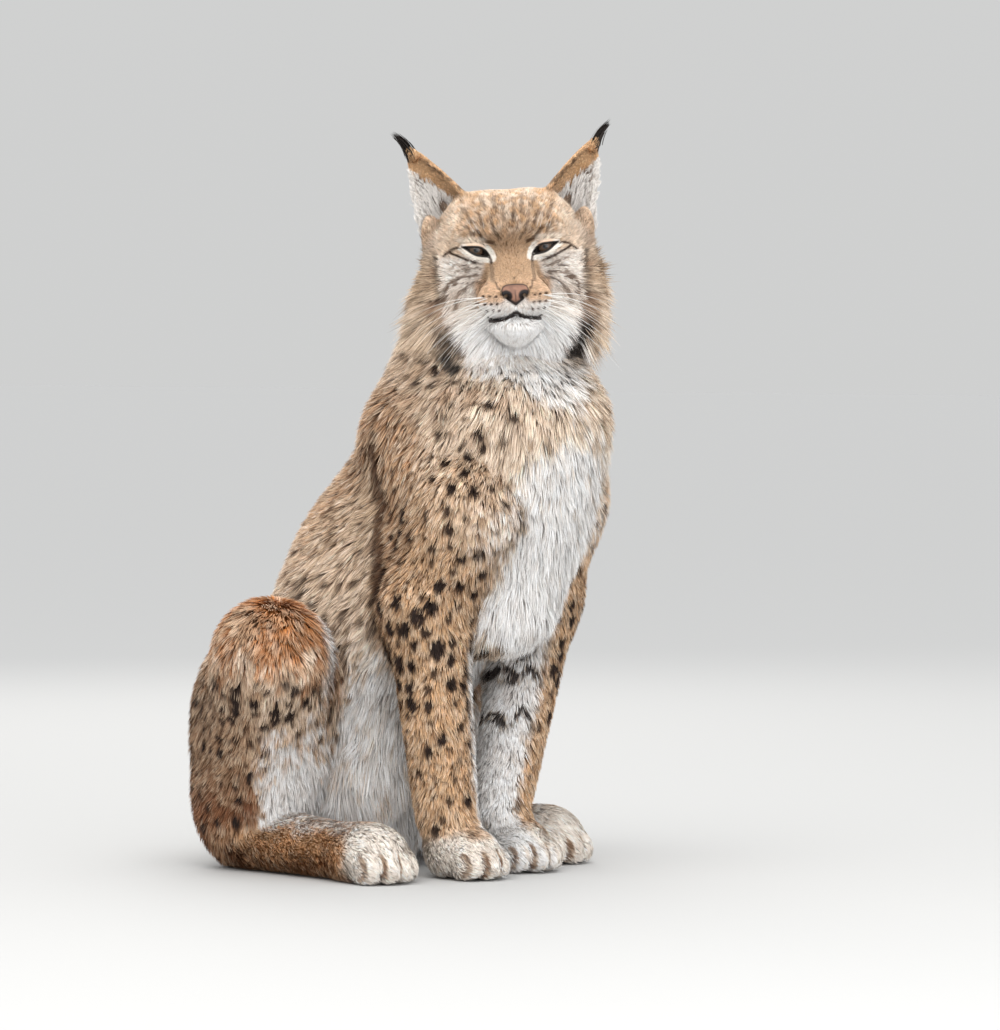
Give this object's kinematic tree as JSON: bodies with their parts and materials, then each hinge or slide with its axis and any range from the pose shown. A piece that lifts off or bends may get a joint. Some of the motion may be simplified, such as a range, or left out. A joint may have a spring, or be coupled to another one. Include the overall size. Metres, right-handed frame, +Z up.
{
  "type": "eurasian lynx",
  "caption": "Life-size still model of a Eurasian lynx sitting upright on the floor, head turned towards its right, with ear tufts and a cheek ruff.",
  "frame": {"origin": "on the floor, at the middle of the flat under the rump", "axes": "+Z up; the animal faces -Y, with its right side at -X; the head is turned about 48 degrees towards its right"},
  "size_m": [0.4914, 0.5358, 0.7996],
  "materials": {
    "body_coat": "short dense fur, buff with brown spots",
    "tail_coat": "dense fur with a black tip",
    "face_coat": "grizzled fur with a white throat and a long ruff",
    "leg_coat": "short fur, rufous buff with dark spots",
    "paw_coat": "short cream fur",
    "ear_coat": "short fur with white hair inside and a black tuft",
    "nose_leather": "bare moist skin, fine grain",
    "eye": "polished, wet"
  },
  "bodies": {
    "root": {"torso": "body_coat", "tail": "tail_coat", "neck": "face_coat", "head": "face_coat", "nose": "nose_leather", "foreleg_left": "leg_coat", "hind_leg_left": "leg_coat", "forepaw_left": "paw_coat", "hind_foot_left": "paw_coat", "ear_left": "ear_coat", "eye_left": "eye", "foreleg_right": "leg_coat", "hind_leg_right": "leg_coat", "forepaw_right": "paw_coat", "hind_foot_right": "paw_coat", "ear_right": "ear_coat", "eye_right": "eye"}
  },
  "joints": []
}
